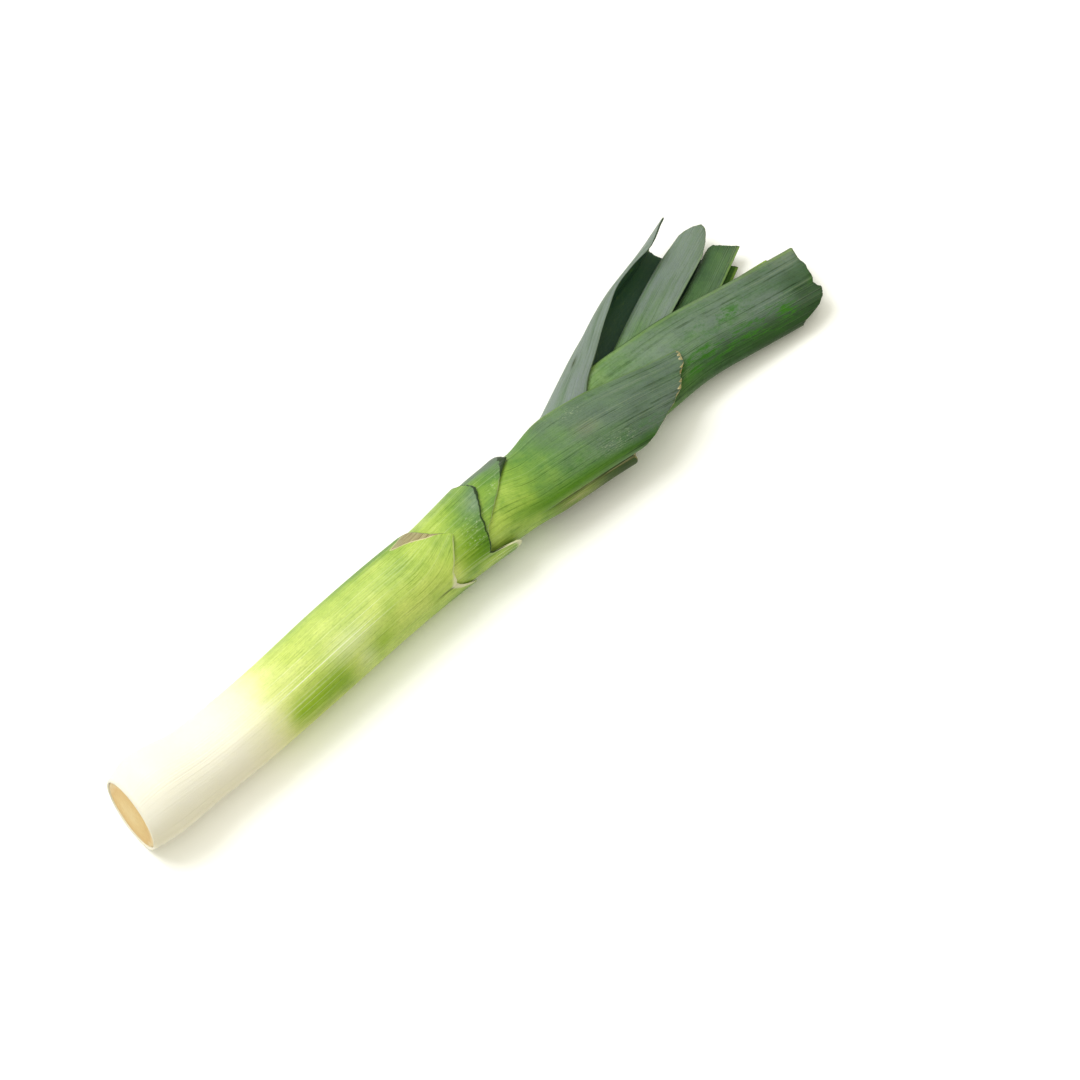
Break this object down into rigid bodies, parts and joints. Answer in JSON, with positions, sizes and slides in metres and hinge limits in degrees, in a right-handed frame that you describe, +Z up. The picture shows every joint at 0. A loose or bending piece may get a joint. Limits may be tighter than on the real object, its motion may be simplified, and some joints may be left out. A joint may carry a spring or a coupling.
{
  "type": "leek",
  "caption": "Whole leek lying on its side: white shank of nested leaf sheaths, cut root end, and folded green blades spreading in a flat fan, trimmed at the tips.",
  "frame": {"origin": "centre of the bounding box at the bottom, where the leek lies on the table", "axes": "+X from the cut root end to the leaf tips, +Y to the left side of the leaf fan, +Z up"},
  "size_m": [0.4236, 0.088, 0.039],
  "materials": {
    "sheath": "satin",
    "blade": "satin",
    "heart": "satin",
    "basal_plate": "matt"
  },
  "bodies": {
    "root": {"basal_plate": "basal_plate", "leaf_1": "sheath", "leaf_2": "sheath", "leaf_3": "sheath", "leaf_4": "blade", "leaf_5": "blade", "leaf_6": "blade", "leaf_7": "blade", "leaf_8": "blade", "leaf_9": "blade", "heart_leaf": "heart"}
  },
  "joints": []
}
